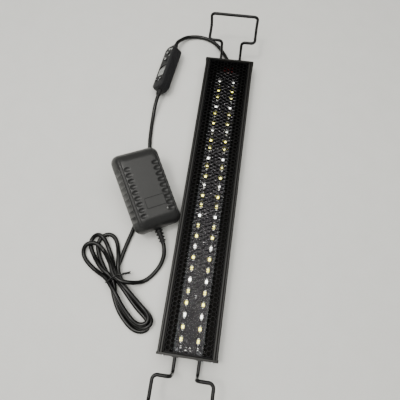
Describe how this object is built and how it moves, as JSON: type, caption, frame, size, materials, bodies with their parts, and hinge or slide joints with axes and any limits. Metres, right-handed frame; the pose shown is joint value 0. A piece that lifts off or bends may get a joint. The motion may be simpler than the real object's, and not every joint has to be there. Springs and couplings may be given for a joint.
{
  "type": "led aquarium light",
  "caption": "Slim bar light for an aquarium with a honeycomb louver, sliding wire brackets at both ends, an in-line timer controller and a plug-in power adapter.",
  "frame": {"origin": "under the middle of the bar, on the surface that its back lies on", "axes": "+Y along the bar to the end where the lead leaves, +Z out of the lit face, +X across the bar"},
  "size_m": [0.1387, 0.3797, 0.0458],
  "materials": {
    "housing_black": "satin black anodised extrusion",
    "cover_black": "satin",
    "plate_black": "moulded, semi-gloss",
    "screw_steel": "zinc plated",
    "board_dark": "black solder mask",
    "led_body": "white ceramic-filled plastic",
    "phosphor_warm": "yellow phosphor in clear silicone",
    "window_clear": "clear silicone over pale chips",
    "chip_black": "matt",
    "solder": "bright solder",
    "lens_clear": "clear acrylic, polished",
    "louver_black": "glossy black",
    "guide_black": "nylon",
    "bracket_black": "black powder-coated wire",
    "ring_steel": "turned steel",
    "gland_rubber": "matt",
    "wire_red": "PVC sleeve",
    "cord_black": "satin PVC jacket",
    "controller_case": "fine moulded grain",
    "display_glass": "grey display window",
    "display_module": "matt",
    "board_green": "solder mask",
    "button_rubber": "matt silicone",
    "adapter_case": "fine spark-eroded grain",
    "label_plate": "smooth recess",
    "blade_brass": "nickel-plated brass",
    "transformer": "ferrite and yellow tape",
    "capacitor": "printed sleeve",
    "tie_black": "plastic-covered wire"
  },
  "bodies": {
    "root": {"housing": "housing_black", "back_cover": "cover_black", "cover_screws": "screw_steel", "end_plate_near": "plate_black", "end_plate_far": "plate_black", "end_plate_screws": "screw_steel", "led_board": "board_dark", "board_screws": "screw_steel", "warm_leds": "led_body", "warm_phosphor": "phosphor_warm", "white_leds": "led_body", "white_windows": "window_clear", "chip_resistors": "chip_black", "board_parts": "chip_black", "solder_joints": "solder", "lens": "lens_clear", "louver": "louver_black", "leg_guides_near": "guide_black", "leg_guides_far": "guide_black", "cable_gland": "gland_rubber", "inner_leads": "wire_red", "light_lead": "cord_black", "controller_top": "controller_case", "controller_bottom": "controller_case", "controller_window": "display_glass", "controller_display": "display_module", "controller_board": "board_green", "controller_screws": "screw_steel", "controller_relief_light": "gland_rubber", "controller_relief_supply": "gland_rubber", "supply_lead": "cord_black", "hank": "cord_black", "twist_tie": "tie_black", "adapter_lead": "cord_black", "adapter_relief": "gland_rubber", "adapter_case_top": "adapter_case", "adapter_case_bottom": "adapter_case", "adapter_label": "label_plate", "adapter_blades": "blade_brass", "adapter_board": "board_green", "adapter_transformer": "transformer", "adapter_capacitor": "capacitor"},
    "near_bracket": {"bracket_near": "bracket_black", "stop_rings_near": "ring_steel"},
    "far_bracket": {"bracket_far": "bracket_black", "stop_rings_far": "ring_steel"},
    "power_button": {"button_power": "button_rubber"},
    "mode_button": {"button_mode": "button_rubber"},
    "minus_button": {"button_minus": "button_rubber"},
    "plus_button": {"button_plus": "button_rubber"}
  },
  "joints": [
    {"name": "near_bracket_slide", "type": "slide", "parent": "root", "child": "near_bracket", "axis": [0, -1, 0], "range_m": [-0.008, 0.07]},
    {"name": "far_bracket_slide", "type": "slide", "parent": "root", "child": "far_bracket", "axis": [0, 1, 0], "range_m": [-0.008, 0.07]},
    {"name": "power_press", "type": "slide", "parent": "root", "child": "power_button", "axis": [-0.6769, 0.0831, 0.7314], "range_m": [-0.0007, 0], "stiffness_N_per_m": 300},
    {"name": "mode_press", "type": "slide", "parent": "root", "child": "mode_button", "axis": [-0.6769, 0.0831, 0.7314], "range_m": [-0.0007, 0], "stiffness_N_per_m": 300},
    {"name": "minus_press", "type": "slide", "parent": "root", "child": "minus_button", "axis": [-0.6769, 0.0831, 0.7314], "range_m": [-0.0007, 0], "stiffness_N_per_m": 300},
    {"name": "plus_press", "type": "slide", "parent": "root", "child": "plus_button", "axis": [-0.6769, 0.0831, 0.7314], "range_m": [-0.0007, 0], "stiffness_N_per_m": 300}
  ]
}
